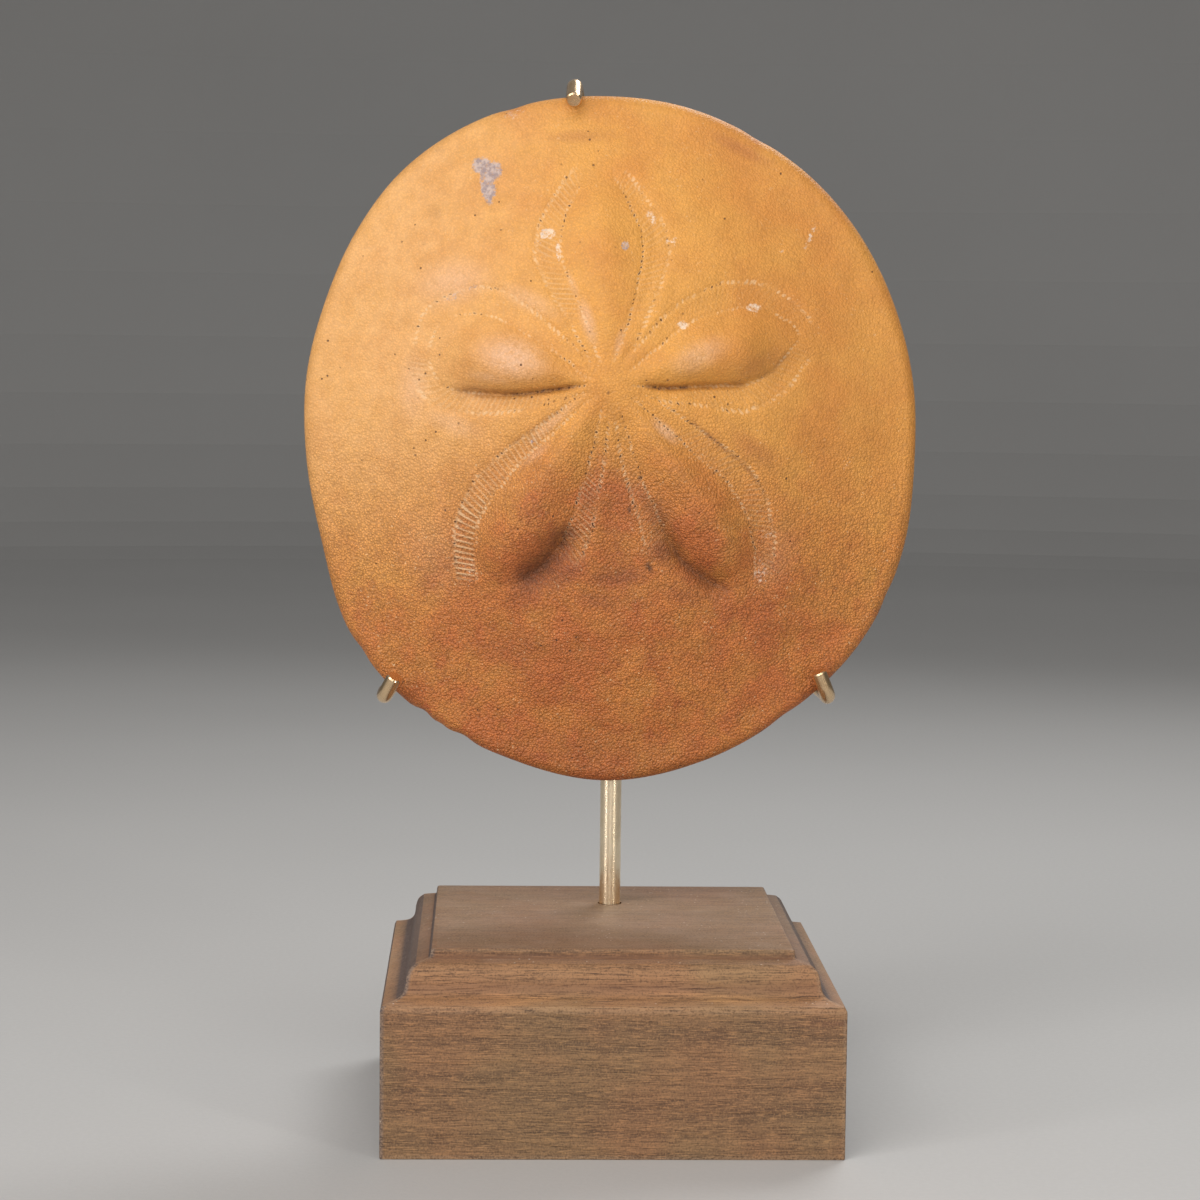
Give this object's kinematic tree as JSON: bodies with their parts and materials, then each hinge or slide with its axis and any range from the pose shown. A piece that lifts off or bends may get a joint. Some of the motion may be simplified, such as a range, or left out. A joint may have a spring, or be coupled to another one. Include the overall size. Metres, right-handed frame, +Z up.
{
  "type": "fossil sea urchin on stand",
  "caption": "Domed oval fossil sea urchin with a raised petal star, held upright by bent brass prongs on a stem in a moulded wooden block.",
  "frame": {"origin": "the middle of the wooden block's underside, which is the middle of the bottom of the whole object's box", "axes": "+Z up, the fossil's petalled side faces -Y, the stem stands behind it at +Y"},
  "size_m": [0.1419, 0.1016, 0.2375],
  "materials": {
    "fossil_stone": "dry orange-tan limestone with a fine grain and darker rust-brown hollows",
    "stained_wood": "grey-brown stain, matt, straight grain left to right, light worn arrises",
    "satin_brass": "satin, lightly brushed along its length, sawn and filed ends"
  },
  "bodies": {
    "root": {"fossil_urchin": "fossil_stone", "wood_base": "stained_wood", "brass_stem": "satin_brass", "top_prong_arm": "satin_brass", "left_prong_arm": "satin_brass", "right_prong_arm": "satin_brass"}
  },
  "joints": []
}
